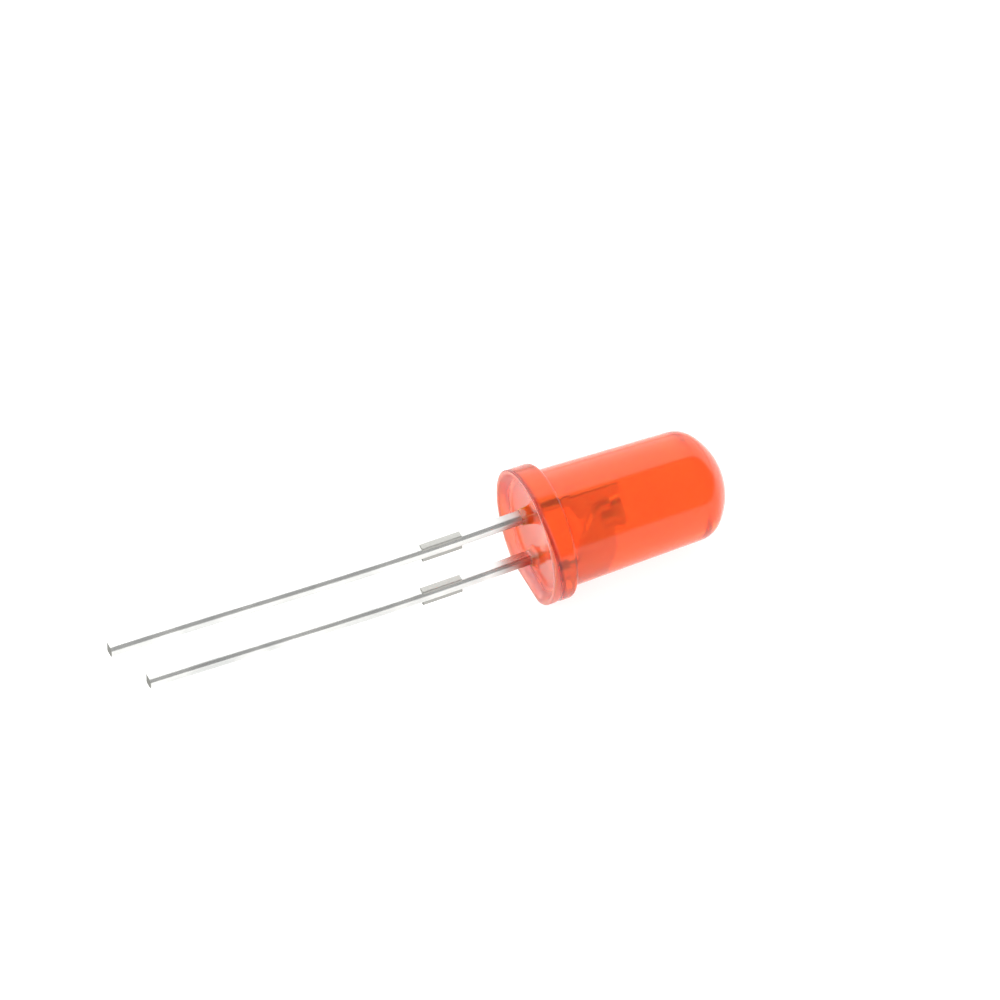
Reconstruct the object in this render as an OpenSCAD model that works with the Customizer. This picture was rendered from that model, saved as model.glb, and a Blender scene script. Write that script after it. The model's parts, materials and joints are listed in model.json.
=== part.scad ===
// Through-hole LED, 5 mm round, tinted and diffused, with two formed wire leads.
//
// The lens is one epoxy casting round a stamped lead frame: the cathode lead ends
// in an anvil with a coined reflector cup, the anode lead ends in a post. The die
// sits in the cup on silver paste, and a gold wire runs from its top to the post.
//
// Everything is drawn upright first: the lens's axis is Z, the rim of its base is
// at Z = 0, the dome points up and the cathode is on +X. lie_down() then lays the
// part on the flat of its flange, with the dome towards +X and the anode on top.

/* [Lens] */
// Diameter of the flange
flange_d = 5.8; // [5.6:0.05:6.2]
// Thickness of the flange, along the axis
flange_h = 1.1; // [0.9:0.05:1.6]
// Radius of the flange's front edge
flange_edge_r = 0.18; // [0.05:0.01:0.25]
// Distance from the axis to the flat that marks the cathode
flat_dist = 2.6; // [2.56:0.01:2.8]
// Diameter of the barrel where it leaves the flange
barrel_root_d = 5.02; // [4.9:0.02:5.1]
// Diameter of the barrel where the dome begins
barrel_tip_d = 4.68; // [4.5:0.02:4.86]
// Length of the lens, from the rim of the base to the top of the dome
lens_len = 8.75; // [8:0.05:10]
// Height of the dome, from the end of the barrel
dome_h = 1.6; // [1.4:0.05:2]
// Radius of the curve that joins the barrel to the dome's crown
knuckle_r = 1.15; // [0.8:0.05:1.3]

/* [Underside of the lens] */
// Width of the flat rim round the dish
rim_w = 0.16; // [0.05:0.01:0.3]
// Depth of the dish that the epoxy draws back to as it sets
dish_depth = 0.38; // [0.2:0.02:0.5]
// Radius of the curve that climbs from the dish's floor to the rim
dish_curve_r = 0.6; // [0.5:0.05:0.9]
// Height and width of the epoxy that creeps along each lead
creep = 0.2; // [0.1:0.02:0.3]

/* [Leads] */
// Side of the square lead wire
lead_w = 0.5; // [0.4:0.02:0.6]
// Radius of the lead's long edges
lead_edge_r = 0.1; // [0.04:0.01:0.12]
// Distance between the two leads, centre to centre
lead_pitch = 2.54; // [2.5:0.01:2.6]
// Length of the anode lead below the rim of the base
anode_len = 18.3; // [8:0.1:30]
// Length of the cathode lead below the rim of the base
cathode_len = 16.7; // [8:0.1:30]
// Distance from the rim of the base to the cut stubs of the tie bar
stub_start = 2.9; // [1:0.05:5]
// Length of each stub along the lead
stub_len = 1.75; // [0.5:0.05:2.2]
// How far each stub stands out of the lead's side
stub_out = 0.14; // [0.05:0.01:0.3]
// How far the stubs are thinner than the wire, on each side
stub_ease = 0.03; // [0.01:0.01:0.05]

/* [Lead frame inside the lens] */
// Height of the barbs that keep the leads from pulling out
barb_z = 1.3; // [1.2:0.02:1.5]
// Length of each barb along the lead
barb_len = 0.5; // [0.3:0.05:0.6]
// How far each barb stands out of the lead's outer side
barb_out = 0.16; // [0.05:0.01:0.25]
// Height of the anvil's lower edge where it meets the cathode lead
anvil_root_z = 1.7; // [1.66:0.02:1.9]
// Height of the anvil's lower edge at its free end
anvil_tip_z = 3.04; // [2.96:0.02:3.1]
// Height of the anvil's top, under the cup
anvil_top_z = 3.52; // [3.4:0.02:3.6]
// Length of the anvil past the lens's axis
anvil_reach = 0.62; // [0.5:0.02:0.68]
// Gap between the anvil and the anode post
frame_gap = 0.26; // [0.2:0.01:0.3]
// Length of the post's foot, inwards from the anode lead
foot_len = 0.75; // [0.4:0.05:0.9]
// Height of the post's foot at its end
foot_h = 0.36; // [0.2:0.02:0.45]
// Height of the cup's rim and of the post's top
frame_top_z = 4; // [3.96:0.02:4.3]

/* [Reflector cup] */
// Outer diameter of the cup at its rim
cup_rim_d = 0.96; // [0.94:0.02:1.1]
// Outer diameter of the cup where it stands on the anvil
cup_root_d = 0.8; // [0.7:0.02:0.9]
// Diameter of the cup's mouth
cup_mouth_d = 0.8; // [0.72:0.02:0.84]
// Diameter of the cup's floor
cup_floor_d = 0.46; // [0.42:0.02:0.5]
// Depth of the cup
cup_depth = 0.32; // [0.2:0.02:0.36]

/* [Die and wire] */
// Side of the square die
die_w = 0.28; // [0.2:0.01:0.29]
// Thickness of the die
die_h = 0.2; // [0.1:0.01:0.25]
// Thickness of the silver paste under the die
paste_t = 0.03; // [0.01:0.01:0.05]
// Clearance between the paste and the side of the cup
paste_clear = 0.02; // [0.01:0.01:0.03]
// Diameter of the gold wire
wire_d = 0.03; // [0.02:0.005:0.05]
// Diameter of the ball that bonds the wire to the die
ball_d = 0.09; // [0.07:0.01:0.12]
// Thickness of that ball once it is pressed flat
ball_h = 0.03; // [0.02:0.01:0.05]
// Straight rise of the wire above the ball
wire_rise = 0.22; // [0.15:0.01:0.3]
// Radius of the wire's bend, measured to its centre line
wire_bend_r = 0.12; // [0.08:0.01:0.2]
// Width of the stitch that bonds the wire to the post
stitch_w = 0.08; // [0.05:0.01:0.12]
// Length of that stitch
stitch_len = 0.14; // [0.1:0.01:0.2]
// Thickness of that stitch
stitch_t = 0.012; // [0.01:0.001:0.02]

/* [Hidden] */
$fn = 96;
FINE = 32;              // facets of the small round features, in previews
CUT = 1;                // how far a cutter runs past what it cuts

flange_r = flange_d / 2;
root_r = barrel_root_d / 2;
tip_r = barrel_tip_d / 2;
lead_x = lead_pitch / 2;                    // each lead's distance from the axis
lead_in_x = lead_x - lead_w / 2;            // its side towards the axis
lead_out_x = lead_x + lead_w / 2;           // its side away from the axis

// The dome is a knuckle that leaves the drafted barrel without a corner, and a
// crown that touches the knuckle from inside and passes through the top point.
barrel_end_z = lens_len - dome_h;
draft = atan((root_r - tip_r) / (barrel_end_z - flange_h));
knuckle_x = tip_r - knuckle_r * cos(draft);
knuckle_z = barrel_end_z - knuckle_r * sin(draft);
crown_drop = lens_len - knuckle_z;          // from the top to the knuckle's centre
crown_r = (pow(knuckle_x, 2) + pow(crown_drop, 2) - pow(knuckle_r, 2))
    / (2 * (crown_drop - knuckle_r));
crown_z = lens_len - crown_r;               // centre of the crown's sphere
crown_half = atan2(knuckle_x, knuckle_z - crown_z);

// The lead frame's slanted gap: the post's foot keeps its distance from the anvil.
anvil_slope = (anvil_tip_z - anvil_root_z) / (lead_in_x + anvil_reach);
gap_drop = frame_gap * sqrt(1 + pow(anvil_slope, 2));
post_in_x = anvil_reach + frame_gap;        // the post's inner side, from the axis
function under_anvil(x) = anvil_root_z + anvil_slope * (lead_in_x - x) - gap_drop;

cup_floor_z = frame_top_z - cup_depth;
die_z = cup_floor_z + paste_t;
wire_z = die_z + die_h + ball_h;            // where the wire leaves the ball
bend_z = wire_z + wire_rise;                // where its bend begins
stitch_x = -(post_in_x + lead_out_x) / 2;   // middle of the post's top
// The wire leaves its bend where the straight run to the stitch is tangent to it.
run_dx = stitch_x + wire_bend_r;
run_dz = frame_top_z + stitch_t - bend_z;
run_reach = norm([run_dx, run_dz]);
bend_angle = 360 + atan2(run_dz, run_dx) - acos(wire_bend_r / run_reach);
run_len = sqrt(pow(run_reach, 2) - pow(wire_bend_r, 2));

// Lays the upright part on its flat, and centres its length over the origin.
module lie_down() {
    translate([(anode_len - lens_len) / 2, 0, flat_dist]) rotate([0, 90, 0]) children();
}

// ---- lens ----

// Half section of the lens as it leaves its mould, before the flat and the dish.
module lens_half_section() {
    // flange, with its front edge rounded
    square([flange_r - flange_edge_r, flange_h]);
    square([flange_r, flange_h - flange_edge_r]);
    translate([flange_r - flange_edge_r, flange_h - flange_edge_r])
        circle(flange_edge_r, $fn = FINE);
    // drafted barrel, up to the knuckle's centre
    polygon([[0, 0], [root_r, 0], [root_r, flange_h], [tip_r, barrel_end_z],
        [knuckle_x, knuckle_z], [0, knuckle_z]]);
    // knuckle
    translate([knuckle_x, knuckle_z]) circle(knuckle_r);
    // crown
    intersection() {
        translate([0, crown_z]) circle(crown_r);
        polygon([[0, knuckle_z], [knuckle_x, knuckle_z],
            [knuckle_x + lens_len * sin(crown_half), knuckle_z + lens_len * cos(crown_half)],
            [0, knuckle_z + lens_len]]);
    }
}

// Section of the dish from x = start to its mouth: a flat floor that curves up to
// the rim. The part of it below Z = 0 lies outside the lens.
module dish_section(start, mouth) {
    floor_end = mouth - sqrt(pow(dish_curve_r, 2) - pow(dish_curve_r - dish_depth, 2));
    translate([start, -CUT]) square([floor_end - start, dish_depth + CUT]);
    translate([floor_end, dish_depth - dish_curve_r]) circle(dish_curve_r, $fn = FINE);
}

module dish() {
    intersection() {
        rotate_extrude() intersection() {
            dish_section(0, flange_r - rim_w);
            translate([0, -CUT]) square([flange_d, dish_depth + CUT]);
        }
        rotate([90, 0, 0]) linear_extrude(flange_d, center = true)
            dish_section(-flange_d, flat_dist - rim_w);
    }
}

// Epoxy drawn up round one lead, as a ring with a hollow flank.
module creep_ring() {
    core = lead_w / 2 * sqrt(2);
    translate([0, 0, dish_depth - creep]) rotate_extrude() difference() {
        square([core + creep, creep + rim_w]);
        translate([core + creep, 0]) circle(creep, $fn = FINE);
    }
}

module lens_casting() {
    difference() {
        rotate_extrude() intersection() {
            lens_half_section();
            square([flange_d, lens_len + CUT]);
        }
        translate([flat_dist, -flange_d, -CUT])
            cube([flange_d, 2 * flange_d, lens_len + 2 * CUT]);
        dish();
    }
    for (side = [-1, 1]) translate([side * lead_x, 0, 0]) creep_ring();
}

module lens() {
    color("#FF5A28") lie_down() difference() {
        lens_casting();
        cathode_blank();
        anode_blank();
        paste_dab();
        die_block();
        wire_loop();
    }
}

// ---- lead frame ----

// Section of the lead wire, with its long edges eased by the tin plating.
module lead_section() {
    flat_w = lead_w - 2 * lead_edge_r;
    square([flat_w, lead_w], center = true);
    square([lead_w, flat_w], center = true);
    for (x = [-1, 1], y = [-1, 1])
        translate([x, y] * flat_w / 2) circle(lead_edge_r, $fn = FINE);
}

// Straight wire from its cut end up to where the stamped head takes over.
module lead_wire(length, top) {
    translate([lead_x, 0, -length]) linear_extrude(length + top) lead_section();
    // stubs left on both sides where the tie bar was cut away
    translate([lead_x - lead_w / 2 - stub_out, -lead_w / 2 + stub_ease, -stub_start - stub_len])
        cube([lead_w + 2 * stub_out, lead_w - 2 * stub_ease, stub_len]);
}

// Gives a flat outline, drawn as [distance from the axis, height], the sheet's thickness.
module stamped(outline) {
    rotate([90, 0, 0]) linear_extrude(lead_w, center = true) polygon(outline);
}

// Outer side of a lead's shank, with its barb, from the bottom up.
function barbed_side() = [
    [lead_out_x, barb_z],
    [lead_out_x + barb_out, barb_z + barb_out],
    [lead_out_x + barb_out, barb_z + barb_len],
    [lead_out_x, barb_z + barb_len]
];

module cathode_blank() {
    lead_wire(cathode_len, barb_z + barb_len);
    difference() {
        union() {
            stamped(concat(
                [[lead_in_x, barb_z]],
                barbed_side(),
                [
                    [lead_out_x, anvil_tip_z],
                    [lead_out_x - (anvil_top_z - anvil_tip_z), anvil_top_z],
                    [-anvil_reach, anvil_top_z],
                    [-anvil_reach, anvil_tip_z],
                    [lead_in_x, anvil_root_z]
                ]
            ));
            // coined cup, wider than the sheet is thick
            translate([0, 0, anvil_tip_z])
                cylinder(h = anvil_top_z - anvil_tip_z, d = cup_root_d);
            translate([0, 0, anvil_top_z])
                cylinder(h = frame_top_z - anvil_top_z, d1 = cup_root_d, d2 = cup_rim_d);
        }
        translate([0, 0, cup_floor_z])
            cylinder(h = cup_depth, d1 = cup_floor_d, d2 = cup_mouth_d);
    }
}

module anode_blank() {
    mirror([1, 0, 0]) {
        lead_wire(anode_len, barb_z + barb_len);
        stamped(concat(
            [[lead_in_x, barb_z]],
            barbed_side(),
            [
                [lead_out_x, frame_top_z],
                [post_in_x, frame_top_z],
                [post_in_x, under_anvil(-post_in_x)],
                [lead_in_x - foot_len, under_anvil(foot_len - lead_in_x)],
                [lead_in_x - foot_len, under_anvil(foot_len - lead_in_x) - foot_h],
                [lead_in_x, under_anvil(foot_len - lead_in_x) - foot_h - foot_len / 2]
            ]
        ));
    }
}

module cathode_lead() {
    color("#C9CBCB") lie_down() cathode_blank();
}

module anode_lead() {
    color("#C9CBCB") lie_down() anode_blank();
}

// ---- die, paste and wire ----

module paste_dab() {
    translate([0, 0, cup_floor_z])
        cylinder(h = paste_t, d = cup_floor_d - 2 * paste_clear);
}

module die_block() {
    translate([-die_w / 2, -die_w / 2, die_z]) cube([die_w, die_w, die_h]);
}

// Ball, rise, bend, straight run and stitch. What would dip into the post is cut.
module wire_loop() {
    difference() {
        union() {
            translate([0, 0, wire_z - ball_h]) cylinder(h = ball_h, d = ball_d, $fn = FINE);
            translate([0, 0, wire_z]) cylinder(h = wire_rise, d = wire_d, $fn = FINE);
            translate([-wire_bend_r, 0, bend_z]) rotate([90, 0, 0]) {
                rotate_extrude(angle = bend_angle)
                    translate([wire_bend_r, 0]) circle(d = wire_d, $fn = FINE);
                rotate(bend_angle) translate([wire_bend_r, 0, 0]) rotate([-90, 0, 0])
                    cylinder(h = run_len, d = wire_d, $fn = FINE);
            }
            translate([stitch_x - stitch_len / 2, -stitch_w / 2, frame_top_z])
                cube([stitch_len, stitch_w, stitch_t]);
        }
        translate([-lead_out_x, -lead_w / 2, frame_top_z - lead_w])
            cube([lead_out_x - post_in_x, lead_w, lead_w]);
    }
}

module die_attach() {
    color("#9A9C9E") lie_down() paste_dab();
}

module led_die() {
    color("#6B3B2E") lie_down() die_block();
}

module bond_wire() {
    color("#D9A441") lie_down() wire_loop();
}

lens();
cathode_lead();
anode_lead();
die_attach();
led_die();
bond_wire();
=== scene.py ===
"""Through-hole LED, 5 mm round, with a tinted and diffused epoxy lens.

The lens's lathe is drawn upright in millimetres, with its axis along Z, the rim of its
base at Z = 0 and the cathode on +X. laid() then puts each point in the frame, where the
part lies on the flat of its flange with its dome towards +X.
"""

import json
import math

import bmesh
import bpy
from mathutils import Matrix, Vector

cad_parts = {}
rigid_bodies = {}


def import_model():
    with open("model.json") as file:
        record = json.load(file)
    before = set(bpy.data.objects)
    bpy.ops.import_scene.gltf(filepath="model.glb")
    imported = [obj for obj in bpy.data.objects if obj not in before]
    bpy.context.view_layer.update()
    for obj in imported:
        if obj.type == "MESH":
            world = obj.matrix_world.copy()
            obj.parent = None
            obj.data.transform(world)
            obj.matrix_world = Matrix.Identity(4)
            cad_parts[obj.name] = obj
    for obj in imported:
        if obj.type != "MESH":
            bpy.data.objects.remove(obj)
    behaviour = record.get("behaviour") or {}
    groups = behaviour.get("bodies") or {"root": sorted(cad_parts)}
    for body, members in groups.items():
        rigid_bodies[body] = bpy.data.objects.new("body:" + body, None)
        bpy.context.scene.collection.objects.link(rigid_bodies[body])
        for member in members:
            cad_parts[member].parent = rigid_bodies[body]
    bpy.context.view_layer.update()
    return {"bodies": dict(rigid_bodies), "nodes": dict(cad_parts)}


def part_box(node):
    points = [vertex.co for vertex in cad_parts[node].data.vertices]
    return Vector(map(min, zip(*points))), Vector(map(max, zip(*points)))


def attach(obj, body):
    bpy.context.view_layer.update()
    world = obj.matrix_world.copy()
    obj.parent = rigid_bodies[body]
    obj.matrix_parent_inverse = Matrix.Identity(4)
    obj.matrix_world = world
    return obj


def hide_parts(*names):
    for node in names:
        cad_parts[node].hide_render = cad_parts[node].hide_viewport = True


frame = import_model()
BODY = next(iter(frame["bodies"]))

MM = 0.001
lens_low, lens_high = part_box("lens")

# ---- sizes of the lens, in millimetres ----

FLANGE_R = lens_high.y / MM
LENS_LEN = (lens_high.x - lens_low.x) / MM
FLAT_DIST = 2.6  # from the axis to the flat on the cathode's side
FLANGE_H = 1.1
FLANGE_EDGE_R = 0.18  # front edge of the flange
BASE_EDGE_R = 0.05  # outer edge of the base
ROOT_R = 2.51  # barrel where it leaves the flange
ROOT_FILLET_R = 0.01
TIP_R = 2.34  # barrel where the dome begins
DOME_H = 1.6
KNUCKLE_R = 1.15
RIM_W = 0.16  # flat rim round the dish
DISH_DEPTH = 0.38
DISH_CURVE_R = 0.6
BOWL = 0.18  # how far the dish's floor rises from the flange's radius to the axis
BOWL_EVEN = 0.6  # squared share of that radius where it is level with a flat floor
CREEP = 0.2  # width of the epoxy drawn up round each lead
ANODE_CREEP_H = 0.7  # and how far it climbs
CATHODE_CREEP_H = 0.3
LIP_W = 0.45  # matt skin of the rim and of the dish's wall, paled with a painted highlight
# the cast line is a shallow groove, and its darker tone is painted shade
LINE_MIDDLE = 0.13  # line that the mould's brim left, from the base, on the lens's axis
LINE_SLANT = 0.11  # how far it climbs for each millimetre across
LINE_NEAR = 0.05  # it comes no nearer to the base than this
LINE_W = 0.11
LINE_DEPTH = 0.03
EDGE_SHADE = 0.35  # share of the line's painted shade that is also painted on the flange's front edge
CORNER_SOFT = 0.04  # easing where the flat meets the flange's round
MOUTH_SOFT = 0.03  # easing of the dish's mouth

# rings of points on each stretch of the casting, and points in each ring
FLOOR_RINGS = 96
RIM_RINGS = 8
SIDE_RINGS = 48
EDGE_RINGS = 24
FILLET_RINGS = 5
BARREL_RINGS = 8
DOME_RINGS = 16
LENS_TURNS = 384

# ---- sizes of the leads, in millimetres ----

LEAD_W = 0.5
LEAD_X = 1.27  # from the axis to each lead
PUNCH_EDGE_R = 0.19  # the wire's edges on the side where the punch came in
BURR_EDGE_R = 0.06  # and on the other
LEAD_SAG = 0.19  # slight bend of the wires towards the flat
LEAD_WAVE = 13.9  # from the base to where the bent wires cross the straight line
LEAD_WAVE_FADE = 30.0  # from the base to where the bend would die out
STAMP_EDGE_R = 0.06  # edges of the stamped heads and stubs
STUB_START = 2.9  # from the base to the cut stubs of the tie bar
STUB_LEN = 1.75
STUB_TOP = 0.08  # how far the stubs stand out of the wire's upper side
STUB_FOOT = 0.18  # and of its lower side
STUB_THIN = 0.08  # how far they are thinner than the wire, on each side
BARB_Z = 1.3
BARB_LEN = 0.5
BARB_OUT = 0.16
ANVIL_ROOT_Z = 1.7  # the slanted anvil that carries the cup
ANVIL_TIP_Z = 3.04
ANVIL_TOP_Z = 3.52
ANVIL_REACH = 0.62  # past the axis
FRAME_GAP = 0.26  # between the anvil and the post
FOOT_LEN = 0.75  # the post's foot
FOOT_H = 0.36
FRAME_TOP_Z = 4.0
CUP_ROOT_R = 0.4
CUP_RIM_R = 0.48
CUP_MOUTH_R = 0.4
CUP_FLOOR_R = 0.23
CUP_DEPTH = 0.32
PLATING_RIPPLE = 0.004
RIPPLE_SEED = 3.0
DIP_GAP = 1.3  # between the lens's base and the end of the tin dip
DIP_FADE = 0.4
DIP_WAVER = 0.6  # how unevenly the dip and the plating end
FILM_LEN = 1.1  # thin film of epoxy drawn out along the wires
SPOT_Z = 0.1  # where the silver plating begins, inside the lens
SPOT_FADE = 0.2
HEAD_Z = 1.5  # and where the painted shade on the edges starts to fade, to about a third on the heads
HEAD_FADE = 0.8
PATH_STEP = 0.1  # between the points along a wire
EDGE_STEPS = 10  # points on each rounded edge of its section


def laid(x, y, z):
    """A point of the upright drawing, in millimetres, as a place in the frame, in metres."""
    return Vector((lens_low.x + z * MM, y * MM, (FLAT_DIST - x) * MM))


# ---- nodes ----


def linear(code):
    """An sRGB hex colour as a linear RGBA value."""
    parts = [int(code[i : i + 2], 16) / 255 for i in (1, 3, 5)]
    return [p / 12.92 if p <= 0.04045 else ((p + 0.055) / 1.055) ** 2.4 for p in parts] + [1.0]


def add(tree, kind, settings=None, **links):
    """Adds a node. Settings go on its properties or sockets, and links join its sockets to others.
    in_0 is its first socket, and an underscore in a link's name stands for a space."""
    node = tree.nodes.new(kind)
    for key, value in (settings or {}).items():
        if key.startswith("in_"):
            node.inputs[int(key[3:])].default_value = value
        elif key in node.inputs:
            node.inputs[key].default_value = value
        else:
            setattr(node, key, value)
    for key, source in links.items():
        socket = int(key[3:]) if key.startswith("in_") else key.replace("_", " ").strip()
        tree.links.new(source, node.inputs[socket])
    return node


def new_material(name):
    """An empty material and its node tree."""
    material = bpy.data.materials.new(name)
    material.use_nodes = True
    material.node_tree.nodes.clear()
    return material, material.node_tree


def diffused_epoxy():
    """Cast epoxy with red dye and a diffusing filler: its whole depth glows evenly, the lead
    frame shows as faint dark marks, and the clear skin mirrors the bright side of the studio.
    The cast line and the flange's front edge are darkened with painted shade, and the rim's
    lip is paled with a painted highlight."""
    material, tree = new_material("Tinted diffused epoxy")
    place = add(tree, "ShaderNodeTexCoord").outputs["Object"]
    ripple = add(tree, "ShaderNodeTexNoise", {"Scale": 0.9 / MM, "Detail": 3.0, "Roughness": 0.55},
                 Vector=place)
    bump = add(tree, "ShaderNodeBump", {"Strength": 0.04, "Distance": 0.02 * MM},
               Height=ripple.outputs["Fac"])
    line = add(tree, "ShaderNodeAttribute", {"attribute_name": "cast_line_and_shade"})
    lip = add(tree, "ShaderNodeAttribute", {"attribute_name": "matt_lip_and_highlight"})
    # the rim's lip and the dish's wall are paled with a painted highlight
    painted_highlight = add(tree, "ShaderNodeMix",
               {"data_type": "RGBA", "A": linear("#FF6822"), "B": linear("#F48C84")},
               in_0=lip.outputs["Fac"])
    # the cast line and the flange's front edge are darkened with painted shade
    tone_with_painted_light = add(tree, "ShaderNodeMix", {"data_type": "RGBA", "B": linear("#9A3028")},
                   in_0=line.outputs["Fac"], A=painted_highlight.outputs["Result"])
    rough = add(tree, "ShaderNodeMapRange", {"To Min": 0.11, "To Max": 0.3}, Value=lip.outputs["Fac"])
    # the filler carries red light furthest, and the dye lets little else through
    shader = add(tree, "ShaderNodeBsdfPrincipled",
                 {"Transmission Weight": 0.72, "IOR": 1.53, "Subsurface Weight": 1.0,
                  "Subsurface Radius": (2.5 * MM, 0.8 * MM, 0.4 * MM), "Subsurface Scale": 1.0},
                 Base_Color=tone_with_painted_light.outputs["Result"], Roughness=rough.outputs["Result"],
                 Normal=bump.outputs["Normal"])
    dye = add(tree, "ShaderNodeVolumeAbsorption",
              {"Color": (0.995, 0.5, 0.03, 1.0), "Density": 0.15 / MM})
    out = add(tree, "ShaderNodeOutputMaterial")
    tree.links.new(shader.outputs["BSDF"], out.inputs["Surface"])
    tree.links.new(dye.outputs["Volume"], out.inputs["Volume"])
    return material


def surface(name, shader_of):
    """A material whose surface is the shader that shader_of adds to its tree."""
    material, tree = new_material(name)
    out = add(tree, "ShaderNodeOutputMaterial")
    place = add(tree, "ShaderNodeTexCoord").outputs["Object"]
    tree.links.new(shader_of(tree, place), out.inputs["Surface"])
    return material


def tinned_steel(tree, place):
    """Stamped steel dipped in bright tin, which mirrors the studio with soft streaks along the
    wire. Close under the lens the dip ends in an uneven edge and the steel is greyer, and the
    heads inside the lens are plated with silver, with painted shade along their stamped edges
    that is strongest on the shanks. Near the base a thin film of epoxy tints the wire, with a
    painted red reflection that is strongest on the lower wire."""
    drawn = add(tree, "ShaderNodeMapping", {"Scale": (0.04, 1.0, 1.0)}, Vector=place)
    streaks = add(tree, "ShaderNodeTexNoise", {"Scale": 6 / MM, "Detail": 3.0, "Roughness": 0.5},
                  Vector=drawn.outputs["Vector"])
    clouds = add(tree, "ShaderNodeTexNoise", {"Scale": 0.5 / MM, "Detail": 3.0}, Vector=place)
    along = add(tree, "ShaderNodeSeparateXYZ", Vector=place)
    waver = add(tree, "ShaderNodeMath",
                {"operation": "MULTIPLY_ADD", "in_1": DIP_WAVER * MM, "in_2": -DIP_WAVER / 2 * MM},
                in_0=clouds.outputs["Fac"])
    edge = add(tree, "ShaderNodeMath", {"operation": "ADD"}, in_0=along.outputs["X"],
               in_1=waver.outputs["Value"])
    dip_end = lens_low.x - DIP_GAP * MM
    bare = add(tree, "ShaderNodeMapRange",
               {"From Min": dip_end - DIP_FADE * MM, "From Max": dip_end + DIP_FADE * MM},
               Value=edge.outputs["Value"])
    silver_start = lens_low.x + SPOT_Z * MM
    silver = add(tree, "ShaderNodeMapRange",
                 {"From Min": silver_start, "From Max": silver_start + SPOT_FADE * MM},
                 Value=edge.outputs["Value"])
    patches = add(tree, "ShaderNodeMapRange", {"From Min": 0.35, "From Max": 0.65},
                  Value=clouds.outputs["Fac"])
    tin = add(tree, "ShaderNodeMix",
              {"data_type": "RGBA", "A": linear("#D0D1D0"), "B": linear("#F0F0ED")},
              in_0=patches.outputs["Result"])
    steel = add(tree, "ShaderNodeMix",
                {"data_type": "RGBA", "A": linear("#B6B4B2"), "B": linear("#DCDAD6")},
                in_0=silver.outputs["Result"])
    plated = add(tree, "ShaderNodeMix", {"data_type": "RGBA"}, in_0=bare.outputs["Result"],
                 A=tin.outputs["Result"], B=steel.outputs["Result"])
    # a thin film of epoxy near the base, with a painted red reflection that is strongest on the lower
    # wire
    film = add(tree, "ShaderNodeMapRange",
               {"From Min": lens_low.x - FILM_LEN * MM, "From Max": lens_low.x, "To Max": 1.0},
               Value=edge.outputs["Value"])
    painted_reflection_share = add(tree, "ShaderNodeMapRange",
                  {"From Min": lens_low.z, "From Max": 2 * FLAT_DIST * MM, "To Min": 1.0,
                   "To Max": 0.15}, Value=along.outputs["Z"])
    film_and_reflection = add(tree, "ShaderNodeMath", {"operation": "MULTIPLY"}, in_0=film.outputs["Result"],
               in_1=painted_reflection_share.outputs["Result"])
    wetted_and_reflected = add(tree, "ShaderNodeMath", {"operation": "SUBTRACT", "use_clamp": True},
                 in_0=film_and_reflection.outputs["Value"], in_1=silver.outputs["Result"])
    filmed_and_reflected = add(tree, "ShaderNodeMix", {"data_type": "RGBA", "B": linear("#B45A46")},
                 in_0=wetted_and_reflected.outputs["Value"], A=plated.outputs["Result"])
    # an edge is where the face leans both ways across the wire
    normal = add(tree, "ShaderNodeTexCoord").outputs["Normal"]
    turned = add(tree, "ShaderNodeVectorMath", {"operation": "ABSOLUTE"}, in_0=normal)
    across = add(tree, "ShaderNodeSeparateXYZ", Vector=turned.outputs["Vector"])
    diagonal = add(tree, "ShaderNodeMath", {"operation": "MULTIPLY"}, in_0=across.outputs["Y"],
                   in_1=across.outputs["Z"])
    # painted shade along the wire's edges, full on the shanks inside the lens and fading on the heads
    edge_shade = add(tree, "ShaderNodeMapRange", {"From Min": 0.12, "From Max": 0.3},
               Value=diagonal.outputs["Value"])
    head_start = lens_low.x + HEAD_Z * MM
    bright = add(tree, "ShaderNodeMapRange",
                 {"From Min": head_start, "From Max": head_start + HEAD_FADE * MM,
                  "To Min": 1.0, "To Max": 0.35}, Value=along.outputs["X"])
    shank = add(tree, "ShaderNodeMath", {"operation": "MULTIPLY"}, in_0=edge_shade.outputs["Result"],
                in_1=bright.outputs["Result"])
    inside = add(tree, "ShaderNodeMath", {"operation": "MULTIPLY"}, in_0=shank.outputs["Value"],
                 in_1=silver.outputs["Result"])
    tone = add(tree, "ShaderNodeMix", {"data_type": "RGBA", "B": linear("#5C524E")},
               in_0=inside.outputs["Value"], A=filmed_and_reflected.outputs["Result"])
    rough = add(tree, "ShaderNodeMapRange", {"To Min": 0.22, "To Max": 0.34},
                Value=streaks.outputs["Fac"])
    bump = add(tree, "ShaderNodeBump", {"Strength": 0.12, "Distance": 0.01 * MM},
               Height=streaks.outputs["Fac"])
    shader = add(tree, "ShaderNodeBsdfPrincipled", {"Metallic": 1.0}, Base_Color=tone.outputs["Result"],
                 Roughness=rough.outputs["Result"], Normal=bump.outputs["Normal"])
    return shader.outputs["BSDF"]


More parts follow.
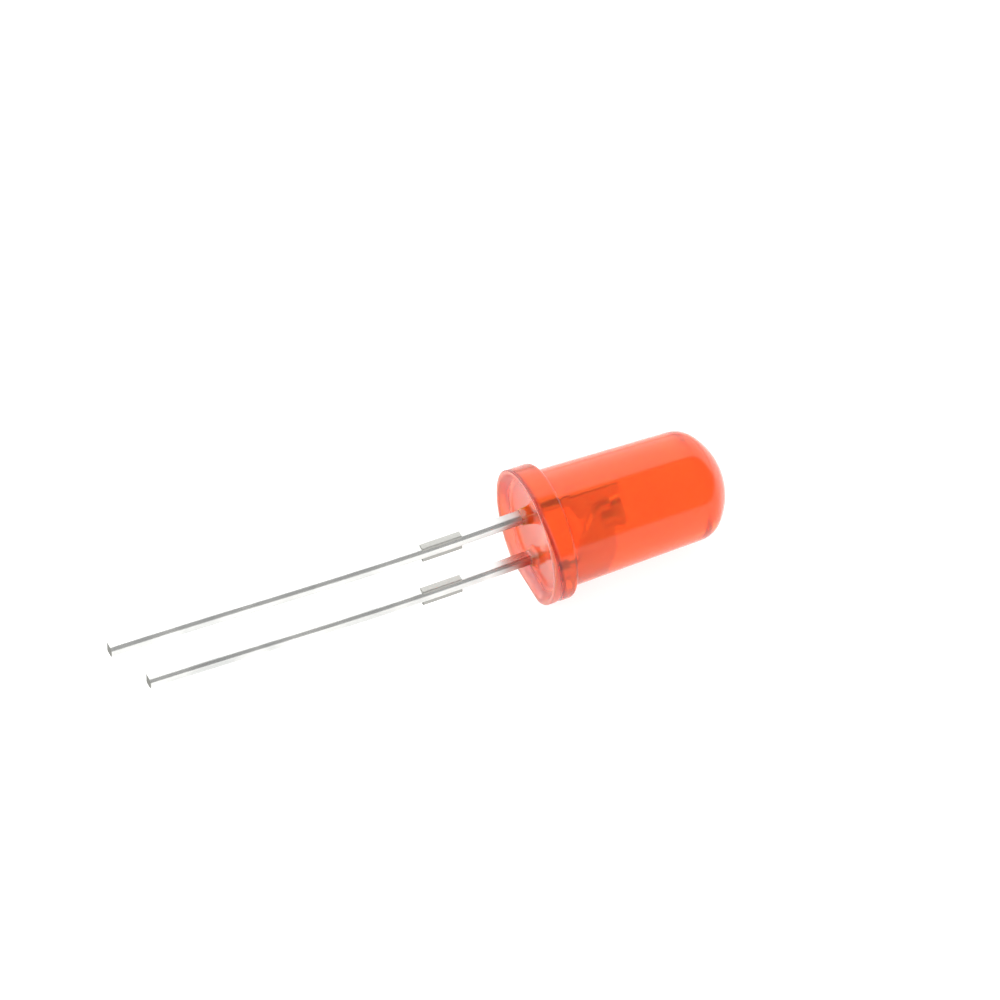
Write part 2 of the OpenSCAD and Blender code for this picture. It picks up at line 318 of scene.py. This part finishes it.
def sheared_steel(tree, place):
    """Faces that the press cut: torn and matt, so they look grey beside the bright tin. The wire's
    ends were cropped last and are the darkest."""
    tears = add(tree, "ShaderNodeTexNoise", {"Scale": 12 / MM, "Detail": 4.0, "Roughness": 0.65},
                Vector=place)
    shaved = add(tree, "ShaderNodeMix",
                 {"data_type": "RGBA", "A": linear("#9A9A96"), "B": linear("#C0C0BC")},
                 in_0=tears.outputs["Fac"])
    normal = add(tree, "ShaderNodeTexCoord").outputs["Normal"]
    across = add(tree, "ShaderNodeSeparateXYZ", Vector=normal)
    facing = add(tree, "ShaderNodeMath", {"operation": "ABSOLUTE"}, in_0=across.outputs["X"])
    snapped = add(tree, "ShaderNodeMapRange", {"From Min": 0.6, "From Max": 0.9},
                  Value=facing.outputs["Value"])
    tone = add(tree, "ShaderNodeMix", {"data_type": "RGBA", "B": linear("#74746F")},
               in_0=snapped.outputs["Result"], A=shaved.outputs["Result"])
    rough = add(tree, "ShaderNodeMapRange", {"To Min": 0.4, "To Max": 0.65}, Value=tears.outputs["Fac"])
    bump = add(tree, "ShaderNodeBump", {"Strength": 0.4, "Distance": 0.01 * MM},
               Height=tears.outputs["Fac"])
    shader = add(tree, "ShaderNodeBsdfPrincipled", {"Metallic": 1.0}, Base_Color=tone.outputs["Result"],
                 Roughness=rough.outputs["Result"], Normal=bump.outputs["Normal"])
    return shader.outputs["BSDF"]


def silver_paste(tree, place):
    """Silver-filled epoxy paste: matt grey with glints from the flakes in it."""
    flakes = add(tree, "ShaderNodeTexVoronoi", {"Scale": 60 / MM}, Vector=place)
    tone = add(tree, "ShaderNodeMix",
               {"data_type": "RGBA", "A": linear("#8E9092"), "B": linear("#D4D6D8")},
               in_0=flakes.outputs["Distance"])
    rough = add(tree, "ShaderNodeMapRange", {"To Min": 0.35, "To Max": 0.7},
                Value=flakes.outputs["Distance"])
    bump = add(tree, "ShaderNodeBump", {"Strength": 0.5, "Distance": 0.005 * MM},
               Height=flakes.outputs["Distance"])
    shader = add(tree, "ShaderNodeBsdfPrincipled", {"Metallic": 0.8}, Base_Color=tone.outputs["Result"],
                 Roughness=rough.outputs["Result"], Normal=bump.outputs["Normal"])
    return shader.outputs["BSDF"]


def sawn_crystal(tree, place):
    """Sawn semiconductor crystal: dark, glassy and brownish red, with fine saw marks."""
    marks = add(tree, "ShaderNodeTexWave", {"Scale": 40 / MM, "Distortion": 2.0, "Detail": 2.0},
                Vector=place)
    tone = add(tree, "ShaderNodeMix",
               {"data_type": "RGBA", "A": linear("#3C1712"), "B": linear("#5E2A1E")},
               in_0=marks.outputs["Fac"])
    rough = add(tree, "ShaderNodeMapRange", {"To Min": 0.15, "To Max": 0.35},
                Value=marks.outputs["Fac"])
    bump = add(tree, "ShaderNodeBump", {"Strength": 0.3, "Distance": 0.002 * MM},
               Height=marks.outputs["Fac"])
    shader = add(tree, "ShaderNodeBsdfPrincipled", {"IOR": 2.4}, Base_Color=tone.outputs["Result"],
                 Roughness=rough.outputs["Result"], Normal=bump.outputs["Normal"])
    return shader.outputs["BSDF"]


def drawn_gold(tree, place):
    """Gold bonding wire: a warm bright line, a little duller in random patches."""
    grain = add(tree, "ShaderNodeTexNoise", {"Scale": 20 / MM, "Detail": 2.0}, Vector=place)
    tone = add(tree, "ShaderNodeMix",
               {"data_type": "RGBA", "A": linear("#D9A441"), "B": linear("#F0C56A")},
               in_0=grain.outputs["Fac"])
    rough = add(tree, "ShaderNodeMapRange", {"To Min": 0.15, "To Max": 0.3}, Value=grain.outputs["Fac"])
    shader = add(tree, "ShaderNodeBsdfPrincipled", {"Metallic": 1.0}, Base_Color=tone.outputs["Result"],
                 Roughness=rough.outputs["Result"])
    return shader.outputs["BSDF"]


# ---- meshes ----


def new_piece(name, mesh, *finishes):
    """A mesh as an object in the scene, with its finishes."""
    piece = bpy.data.objects.new(name, mesh)
    bpy.context.scene.collection.objects.link(piece)
    for finish in finishes:
        mesh.materials.append(finish)
    return piece


def soft_min(a, b, ease):
    """The smaller of two values, eased where they cross."""
    return (a + b - math.sqrt((a - b) ** 2 + ease**2)) / 2


def soft_max(a, b, ease):
    """The larger of two values, eased where they cross."""
    return -soft_min(-a, -b, ease)


def outline_r(turn, radius, flat):
    """Distance from the axis to a round outline with a flat on +X, in the direction turn."""
    if flat is None or math.cos(turn) < 0.1:
        return radius
    return soft_min(radius, flat / math.cos(turn), CORNER_SOFT)


def underside_z(x, y):
    """Height of the base's free epoxy surface: rim, dish and the creep up each lead."""
    inset = soft_min(FLANGE_R - math.hypot(x, y), FLAT_DIST - x, 2 * CORNER_SOFT)
    climb = math.sqrt(DISH_CURVE_R**2 - (DISH_CURVE_R - DISH_DEPTH) ** 2)
    # the curve stops just short of upright
    left = min(max(climb + RIM_W - inset, 0), DISH_CURVE_R * 0.999)
    z = DISH_DEPTH - DISH_CURVE_R + math.sqrt(DISH_CURVE_R**2 - left**2)
    z += BOWL * (BOWL_EVEN - (x * x + y * y) / FLANGE_R**2)
    z = soft_max(z, 0, MOUTH_SOFT)
    for side in (-1, 1):
        dx = abs(x - side * LEAD_X) - LEAD_W / 2
        dy = abs(y) - LEAD_W / 2
        away = math.hypot(max(dx, 0), max(dy, 0)) + min(max(dx, dy), 0)
        share = 1 - min(max(away / CREEP, 0), 1)
        z -= (CATHODE_CREEP_H if side > 0 else ANODE_CREEP_H) * (1 - math.sqrt(1 - share**2))
    return z


def cast_line_and_shade(x, y, z):
    """The mould's brim left a shallow line round the flange's side, and a lip behind it; the lip is
    paled with a painted highlight, and the line darkened with painted shade.
    It is a little askew, so it starts at the rim on the anode's side and stands off it at the
    flat. Gives the line's depth and the lip's share at a place, each from 0 to 1."""
    middle = max(LINE_MIDDLE + LINE_SLANT * (x - y) / math.sqrt(2), LINE_NEAR)
    depth = math.exp(-(((z - middle) / LINE_W) ** 2))
    return depth, min(max((middle - z) / LINE_W, 0), 1)


def lens_mesh():
    """The whole outside of the casting as rings of points, from the dish's middle to the dome's
    top. As attributes, each point has its share of the cast line with its painted shade, and of
    the paler lip with its painted highlight."""
    rings = []
    lines_and_shade = {}
    lips_and_highlight = {}

    angles = [2 * math.pi * i / LENS_TURNS for i in range(LENS_TURNS)]

    def lathe(radius, z, flat=FLAT_DIST):
        reach = [outline_r(t, radius, flat) for t in angles]
        rings.append([(r * math.cos(t), r * math.sin(t), z) for r, t in zip(reach, angles)])

    # underside, out to the outer edge of the rim
    for k in range(1, FLOOR_RINGS + 1):
        share = k / FLOOR_RINGS
        points = []
        for i, t in enumerate(angles):
            r = outline_r(t, FLANGE_R - BASE_EDGE_R, FLAT_DIST - BASE_EDGE_R) * share
            x, y = r * math.cos(t), r * math.sin(t)
            inset = min(FLANGE_R - math.hypot(x, y), FLAT_DIST - x)
            lips_and_highlight[len(rings), i] = min(max(2 - inset / LIP_W, 0), 1)
            points.append((x, y, underside_z(x, y)))
        rings.append(points)
    rim_z = MOUTH_SOFT**2 / 4
    # outer edge of the base
    for k in range(1, RIM_RINGS + 1):
        a = math.pi / 2 * k / RIM_RINGS
        inset = BASE_EDGE_R * (1 - math.sin(a))
        z = rim_z + BASE_EDGE_R * (1 - math.cos(a))
        for i, t in enumerate(angles):
            here = len(rings), i
            lines_and_shade[here], lips_and_highlight[here] = cast_line_and_shade(FLANGE_R * math.cos(t), FLANGE_R * math.sin(t), z)
        lathe(FLANGE_R - inset, z, FLAT_DIST - inset)
    # the flange's side with its cast line
    side = FLANGE_H - FLANGE_EDGE_R
    for k in range(1, SIDE_RINGS + 1):
        z = BASE_EDGE_R + (side - BASE_EDGE_R) * k / SIDE_RINGS
        points = []
        for i, t in enumerate(angles):
            r = outline_r(t, FLANGE_R, FLAT_DIST)
            x, y = r * math.cos(t), r * math.sin(t)
            here = len(rings), i
            lines_and_shade[here], lips_and_highlight[here] = cast_line_and_shade(x, y, z)
            dent = LINE_DEPTH * lines_and_shade[here]
            points.append((x - dent * x / r, y - dent * y / r, z))
        rings.append(points)
    # front edge of the flange
    for k in range(1, EDGE_RINGS + 1):
        a = math.pi / 2 * k / EDGE_RINGS
        # painted shade along the middle of the flange's front edge
        for i in range(LENS_TURNS):
            lines_and_shade[len(rings), i] = EDGE_SHADE * math.sin(2 * a)
        lathe(FLANGE_R - FLANGE_EDGE_R * (1 - math.cos(a)), side + FLANGE_EDGE_R * math.sin(a))
    # root fillet
    for k in range(FILLET_RINGS + 1):
        a = math.pi / 2 * k / FILLET_RINGS
        lathe(ROOT_R + ROOT_FILLET_R * (1 - math.sin(a)),
              FLANGE_H + ROOT_FILLET_R * (1 - math.cos(a)), None)
    # drafted barrel
    end = LENS_LEN - DOME_H
    draft = math.atan((ROOT_R - TIP_R) / (end - FLANGE_H))
    for k in range(1, BARREL_RINGS + 1):
        z = FLANGE_H + ROOT_FILLET_R + (end - FLANGE_H - ROOT_FILLET_R) * k / BARREL_RINGS
        lathe(ROOT_R + (TIP_R - ROOT_R) * (z - FLANGE_H) / (end - FLANGE_H), z, None)
    # knuckle and crown
    knuckle_x = TIP_R - KNUCKLE_R * math.cos(draft)
    knuckle_z = end - KNUCKLE_R * math.sin(draft)
    drop = LENS_LEN - knuckle_z
    crown_r = (knuckle_x**2 + drop**2 - KNUCKLE_R**2) / (2 * (drop - KNUCKLE_R))
    crown_z = LENS_LEN - crown_r
    meet = math.atan2(knuckle_z - crown_z, knuckle_x)
    for k in range(1, DOME_RINGS + 1):
        a = draft + (meet - draft) * k / DOME_RINGS
        lathe(knuckle_x + KNUCKLE_R * math.cos(a), knuckle_z + KNUCKLE_R * math.sin(a), None)
    for k in range(1, DOME_RINGS):
        a = meet + (math.pi / 2 - meet) * k / DOME_RINGS
        lathe(crown_r * math.cos(a), crown_z + crown_r * math.sin(a), None)

    points = [laid(*p) for r in rings for p in r]
    faces = []
    for k in range(len(rings) - 1):
        for i in range(LENS_TURNS):
            j = (i + 1) % LENS_TURNS
            a, b = k * LENS_TURNS, (k + 1) * LENS_TURNS
            faces.append((a + i, b + i, b + j, a + j))
    points.append(laid(0, 0, underside_z(0, 0)))
    points.append(laid(0, 0, LENS_LEN))
    middle, top = len(points) - 2, len(points) - 1
    last = (len(rings) - 1) * LENS_TURNS
    for i in range(LENS_TURNS):
        j = (i + 1) % LENS_TURNS
        faces.append((middle, i, j))
        faces.append((top, last + j, last + i))
    mesh = bpy.data.meshes.new("lens_casting")
    mesh.from_pydata(points, [], faces)
    for name, values in (("cast_line_and_shade", lines_and_shade), ("matt_lip_and_highlight", lips_and_highlight)):
        layer = mesh.attributes.new(name, "FLOAT", "POINT").data
        for (k, i), value in values.items():
            layer[k * LENS_TURNS + i].value = value
    shape = bmesh.new()
    shape.from_mesh(mesh)
    bmesh.ops.recalc_face_normals(shape, faces=shape.faces)
    shape.to_mesh(mesh)
    shape.free()
    mesh.shade_smooth()
    return mesh


def swept_tree():
    """Geometry Nodes tree that sweeps a square along the curve that it is given, rounder on the
    punch's side than on the burr's, with a slight ripple in the plating. The cut ends stay sharp
    and get a finish of their own."""
    tree = bpy.data.node_groups.new("swept wire", "GeometryNodeTree")
    for name, kind in (("Curve", "Geometry"), ("Width", "Float"), ("Height", "Float"),
                       ("Edge Radius", "Float"), ("Burr Radius", "Float"), ("Step", "Float"),
                       ("Ripple", "Float"), ("Finish", "Material"), ("Cut Finish", "Material")):
        tree.interface.new_socket(name, in_out="INPUT", socket_type="NodeSocket" + kind)
    tree.interface.new_socket("Wire", in_out="OUTPUT", socket_type="NodeSocketGeometry")
    given = add(tree, "NodeGroupInput").outputs
    square = add(tree, "GeometryNodeCurvePrimitiveQuadrilateral", in_0=given["Width"],
                 in_1=given["Height"])
    position = add(tree, "GeometryNodeInputPosition").outputs["Position"]
    corner = add(tree, "ShaderNodeSeparateXYZ", Vector=position)
    is_burr = add(tree, "ShaderNodeMath", {"operation": "LESS_THAN", "in_1": 0.0},
                  in_0=corner.outputs["X"])
    radius = add(tree, "GeometryNodeSwitch", {"input_type": "FLOAT"}, Switch=is_burr.outputs["Value"],
                 False_=given["Edge Radius"], True_=given["Burr Radius"])
    eased = add(tree, "GeometryNodeFilletCurve", {"mode": "POLY", "Count": EDGE_STEPS},
                Curve=square.outputs["Curve"], Radius=radius.outputs["Output"])
    path = add(tree, "GeometryNodeResampleCurve", {"mode": "LENGTH"}, Curve=given["Curve"],
               Length=given["Step"])
    swept = add(tree, "GeometryNodeCurveToMesh", {"Fill Caps": True}, Curve=path.outputs["Curve"],
                Profile_Curve=eased.outputs["Curve"])
    normal = add(tree, "GeometryNodeInputNormal").outputs["Normal"]
    noise = add(tree, "ShaderNodeTexNoise",
                {"noise_dimensions": "4D", "W": RIPPLE_SEED, "Scale": 1.4 / MM})
    lift = add(tree, "ShaderNodeMath", {"operation": "SUBTRACT", "in_1": 1.0},
               in_0=noise.outputs["Fac"])
    height = add(tree, "ShaderNodeMath", {"operation": "MULTIPLY"}, in_0=lift.outputs["Value"],
                 in_1=given["Ripple"])
    offset = add(tree, "ShaderNodeVectorMath", {"operation": "SCALE"}, in_0=normal,
                 Scale=height.outputs["Value"])
    rippled = add(tree, "GeometryNodeSetPosition", Geometry=swept.outputs["Mesh"],
                  Offset=offset.outputs["Vector"])
    finished = add(tree, "GeometryNodeSetMaterial", Geometry=rippled.outputs["Geometry"],
                   Material=given["Finish"])
    facing = add(tree, "ShaderNodeSeparateXYZ", Vector=normal)
    square_on = add(tree, "ShaderNodeMath", {"operation": "ABSOLUTE"}, in_0=facing.outputs["X"])
    is_cut = add(tree, "ShaderNodeMath", {"operation": "GREATER_THAN", "in_1": 0.9},
                 in_0=square_on.outputs["Value"])
    cut = add(tree, "GeometryNodeSetMaterial", Geometry=finished.outputs["Geometry"],
              Selection=is_cut.outputs["Value"], Material=given["Cut Finish"])
    real = add(tree, "GeometryNodeRealizeInstances", Geometry=cut.outputs["Geometry"])
    out = add(tree, "NodeGroupOutput")
    tree.links.new(real.outputs["Geometry"], out.inputs["Wire"])
    return tree


def evaluated(piece):
    """The piece's mesh with its modifiers applied."""
    graph = bpy.context.evaluated_depsgraph_get()
    return bpy.data.meshes.new_from_object(piece.evaluated_get(graph), depsgraph=graph)


def swept(tree, points, sizes):
    """The tree's result along a line through the points, as a mesh."""
    path = bpy.data.curves.new("path", "CURVE")
    path.dimensions = "3D"
    spline = path.splines.new("POLY")
    spline.points.add(len(points) - 1)
    for point, place in zip(spline.points, points):
        point.co = (*place, 1.0)
    carrier = bpy.data.objects.new("path", path)
    bpy.context.scene.collection.objects.link(carrier)
    modifier = carrier.modifiers.new("sweep", "NODES")
    modifier.node_group = tree
    for item in tree.interface.items_tree:
        if item.in_out == "INPUT" and item.name in sizes:
            modifier[item.identifier] = sizes[item.name]
    mesh = evaluated(carrier)
    bpy.data.objects.remove(carrier)
    return mesh


def stamping(side, outline, half_w, ease):
    """A flat outline of (distance from the axis, height) points as a slab with eased edges."""
    shape = bmesh.new()
    near = [shape.verts.new(laid(side * x, -half_w, z)) for x, z in outline]
    far = [shape.verts.new(laid(side * x, half_w, z)) for x, z in outline]
    shape.faces.new(near)
    shape.faces.new(far)
    for i in range(len(outline)):
        j = (i + 1) % len(outline)
        shape.faces.new((near[i], near[j], far[j], far[i]))
    bmesh.ops.recalc_face_normals(shape, faces=shape.faces)
    bmesh.ops.bevel(shape, geom=list(shape.edges), offset=ease * MM, segments=4, profile=0.5,
                    affect="EDGES", clamp_overlap=True)
    return shape


def lathed(profile, turns=96):
    """A closed (radius, height) profile turned about the lens's axis."""
    shape = bmesh.new()
    rings = []
    for r, z in profile:
        if r == 0:
            rings.append([shape.verts.new(laid(0, 0, z))] * turns)
        else:
            rings.append([shape.verts.new(laid(r * math.cos(t), r * math.sin(t), z))
                          for t in (2 * math.pi * i / turns for i in range(turns))])
    for low, high in zip(rings, rings[1:]):
        for i in range(turns):
            j = (i + 1) % turns
            corners = list(dict.fromkeys((low[i], low[j], high[j], high[i])))
            shape.faces.new(corners)
    bmesh.ops.recalc_face_normals(shape, faces=shape.faces)
    return shape


def under_anvil(x):
    """Height of the post's foot below the slanted anvil, at a distance x from the axis."""
    slope = (ANVIL_TIP_Z - ANVIL_ROOT_Z) / (LEAD_X - LEAD_W / 2 + ANVIL_REACH)
    return ANVIL_ROOT_Z + slope * (LEAD_X - LEAD_W / 2 - x) - FRAME_GAP * math.sqrt(1 + slope**2)


def sag(reach):
    """How far the wires are bent off the straight line, upwards, at a distance from the base."""
    if reach < 0:
        return 0
    return -LEAD_SAG * math.sin(math.pi * reach / LEAD_WAVE) * (1 - reach / LEAD_WAVE_FADE)


def lead(name, side, length, head, extras):
    """One lead: swept wire, the stubs of the cut tie bar, and its stamped head in the lens."""
    whole = bmesh.new()

    def run(start, end, foot, top, thin, edges, finish, ripple):
        """A stretch of wire that stands out by foot below and top above, and is thin at its sides."""
        count = max(int((end - start) / PATH_STEP), 2)
        points = []
        for k in range(count + 1):
            z = start + (end - start) * k / count
            lift = (sag(-z) + (top - foot) / 2) * MM
            points.append(laid(side * LEAD_X, 0, z) + Vector((0, 0, lift)))
        sizes = {"Width": (LEAD_W - 2 * thin) * MM, "Height": (LEAD_W + foot + top) * MM,
                 "Edge Radius": edges[0] * MM, "Burr Radius": edges[1] * MM, "Step": PATH_STEP * MM,
                 "Ripple": ripple * MM, "Finish": finish, "Cut Finish": sheared}
        wire = swept(sweep, points, sizes)
        slots = [(tin, sheared).index(finish) for finish in wire.materials]
        for face in wire.polygons:
            face.material_index = slots[face.material_index]
        whole.from_mesh(wire)

    run(-length, BARB_Z + BARB_LEN / 2, 0, 0, 0, (PUNCH_EDGE_R, BURR_EDGE_R), tin, PLATING_RIPPLE)
    run(-STUB_START - STUB_LEN, -STUB_START, STUB_FOOT, STUB_TOP, STUB_THIN,
        (STAMP_EDGE_R, STAMP_EDGE_R), sheared, 0.0)
    barb = [(in_x, BARB_Z), (out_x, BARB_Z), (out_x + BARB_OUT, BARB_Z + BARB_OUT),
            (out_x + BARB_OUT, BARB_Z + BARB_LEN), (out_x, BARB_Z + BARB_LEN)]
    for shape in (stamping(side, barb + head, LEAD_W / 2, STAMP_EDGE_R), *extras):
        part = bpy.data.meshes.new("part")
        shape.to_mesh(part)
        shape.free()
        whole.from_mesh(part)
    mesh = bpy.data.meshes.new(name)
    whole.to_mesh(mesh)
    whole.free()
    mesh.shade_smooth()
    mesh.set_sharp_from_angle(angle=math.radians(40))
    piece = new_piece(name, mesh, tin, sheared)
    piece.modifiers.new("even", "WEIGHTED_NORMAL").keep_sharp = True
    piece.data = evaluated(piece)
    piece.modifiers.clear()
    return piece


epoxy = diffused_epoxy()
tin = surface("Bright tin plating", tinned_steel)
sheared = surface("Sheared steel", sheared_steel)
sweep = swept_tree()

out_x = LEAD_X + LEAD_W / 2
in_x = LEAD_X - LEAD_W / 2
post_in_x = ANVIL_REACH + FRAME_GAP
anvil = [(out_x, ANVIL_TIP_Z), (out_x - (ANVIL_TOP_Z - ANVIL_TIP_Z), ANVIL_TOP_Z),
         (-ANVIL_REACH, ANVIL_TOP_Z), (-ANVIL_REACH, ANVIL_TIP_Z), (in_x, ANVIL_ROOT_Z)]
foot_z = under_anvil(FOOT_LEN - in_x)
post = [(out_x, FRAME_TOP_Z), (post_in_x, FRAME_TOP_Z), (post_in_x, under_anvil(-post_in_x)),
        (in_x - FOOT_LEN, foot_z), (in_x - FOOT_LEN, foot_z - FOOT_H),
        (in_x, foot_z - FOOT_H - FOOT_LEN / 2)]
cup_floor_z = FRAME_TOP_Z - CUP_DEPTH
cup = lathed([(0, ANVIL_TIP_Z), (CUP_ROOT_R, ANVIL_TIP_Z), (CUP_ROOT_R, ANVIL_TOP_Z),
              (CUP_RIM_R, FRAME_TOP_Z), (CUP_MOUTH_R, FRAME_TOP_Z), (CUP_FLOOR_R, cup_floor_z),
              (0, cup_floor_z)])
cathode = lead("cathode_wire", 1, (lens_low.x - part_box("cathode_lead")[0].x) / MM, anvil, [cup])
anode = lead("anode_wire", -1, (lens_low.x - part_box("anode_lead")[0].x) / MM, post, [])
for piece, node in ((cathode, "cathode_lead"), (anode, "anode_lead")):
    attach(piece, BODY)
    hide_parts(node)

lens = new_piece("lens_casting", lens_mesh(), epoxy)
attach(lens, BODY)
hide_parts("lens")

finishes = {
    "die_attach": surface("Silver paste", silver_paste),
    "led_die": surface("Sawn crystal", sawn_crystal),
    "bond_wire": surface("Drawn gold", drawn_gold),
}
for node, finish in finishes.items():
    piece = frame["nodes"][node]
    piece.data.materials.clear()
    piece.data.materials.append(finish)

# ---- studio ----

CAMERA_AZIMUTH = math.radians(-24.45)
CAMERA_ELEVATION = math.radians(45.5)
CAMERA_DISTANCE = 0.3
VIEW_WIDTH = 0.04085  # what the frame spans at the object's distance
AIM_RIGHT = -0.001038  # from the middle of the lens's base to the middle of the frame
AIM_UP = 0.001546
FRONT_GLOW = 0.4  # the camera's side of the studio is dim
BACK_GLOW = 1.7
SIDE_GLOW = 1.8
BACKDROP_END = 0.25  # how far behind the zenith the backdrop ends
TABLE_GLOW = 0.85
TABLE_FAR_GLOW = 0.28
POOL_R = 0.035  # the floor's painted glow is full up to here

back = Vector((
    math.sin(CAMERA_AZIMUTH) * math.cos(CAMERA_ELEVATION),
    -math.cos(CAMERA_AZIMUTH) * math.cos(CAMERA_ELEVATION),
    math.sin(CAMERA_ELEVATION),
))
turn = back.to_track_quat("Z", "Y")
aim = laid(0, 0, 0) + turn @ Vector((AIM_RIGHT, AIM_UP, 0))
camera_data = bpy.data.cameras.new("camera")
camera_data.lens = camera_data.sensor_width * CAMERA_DISTANCE / VIEW_WIDTH
camera_data.clip_start = 0.01
camera_data.clip_end = 10
camera = bpy.data.objects.new("camera", camera_data)
camera.location = aim + back * CAMERA_DISTANCE
camera.rotation_mode = "QUATERNION"
camera.rotation_quaternion = turn
bpy.context.scene.collection.objects.link(camera)
bpy.context.scene.camera = camera

bpy.ops.mesh.primitive_plane_add(size=4.0)
floor = bpy.context.object
floor.name = "floor"
# a white floor with its own painted glow, a pool round the part that fades far from it and all but
# takes away the shadow
floor_material, floor_tree = new_material("White floor with painted glow pool")
away = add(floor_tree, "ShaderNodeVectorMath", {"operation": "LENGTH"},
           in_0=add(floor_tree, "ShaderNodeTexCoord").outputs["Object"])
pool = add(floor_tree, "ShaderNodeMapRange",
           {"interpolation_type": "SMOOTHSTEP", "From Min": POOL_R, "From Max": 3 * POOL_R,
            "To Min": TABLE_GLOW, "To Max": TABLE_FAR_GLOW}, Value=away.outputs["Value"])
card = add(floor_tree, "ShaderNodeBsdfPrincipled",
           {"Base Color": linear("#9A9A98"), "Roughness": 1.0, "Specular IOR Level": 0.0,
            "Emission Color": (1, 1, 1, 1)}, Emission_Strength=pool.outputs["Result"])
floor_out = add(floor_tree, "ShaderNodeOutputMaterial")
floor_tree.links.new(card.outputs["BSDF"], floor_out.inputs["Surface"])
floor.data.materials.append(floor_material)

world = bpy.data.worlds.new("studio")
bpy.context.scene.world = world
world.use_nodes = True
sky = world.node_tree
sky.nodes.clear()
direction = add(sky, "ShaderNodeTexCoord").outputs["Generated"]
# the backdrop rises behind the part
behind = add(sky, "ShaderNodeVectorMath",
             {"operation": "DOT_PRODUCT", "in_1": (0.0, 1.0, -BACKDROP_END)}, in_0=direction)
backdrop = add(sky, "ShaderNodeMapRange",
               {"From Min": -0.03, "From Max": 0.06, "To Min": FRONT_GLOW, "To Max": BACK_GLOW},
               Value=behind.outputs["Value"])
# the wall on the leads' side carries the main light
beside = add(sky, "ShaderNodeSeparateXYZ", Vector=direction)
wall = add(sky, "ShaderNodeMapRange",
           {"From Min": 0.1, "From Max": -0.3, "To Min": 0.0, "To Max": SIDE_GLOW},
           Value=beside.outputs["X"])
total = add(sky, "ShaderNodeMath", {"operation": "ADD"}, in_0=backdrop.outputs["Result"],
            in_1=wall.outputs["Result"])
glow = add(sky, "ShaderNodeBackground", {"Color": (1, 1, 1, 1)}, Strength=total.outputs["Value"])
world_out = add(sky, "ShaderNodeOutputWorld")
sky.links.new(glow.outputs["Background"], world_out.inputs["Surface"])

bpy.context.scene.view_settings.view_transform = "Standard"
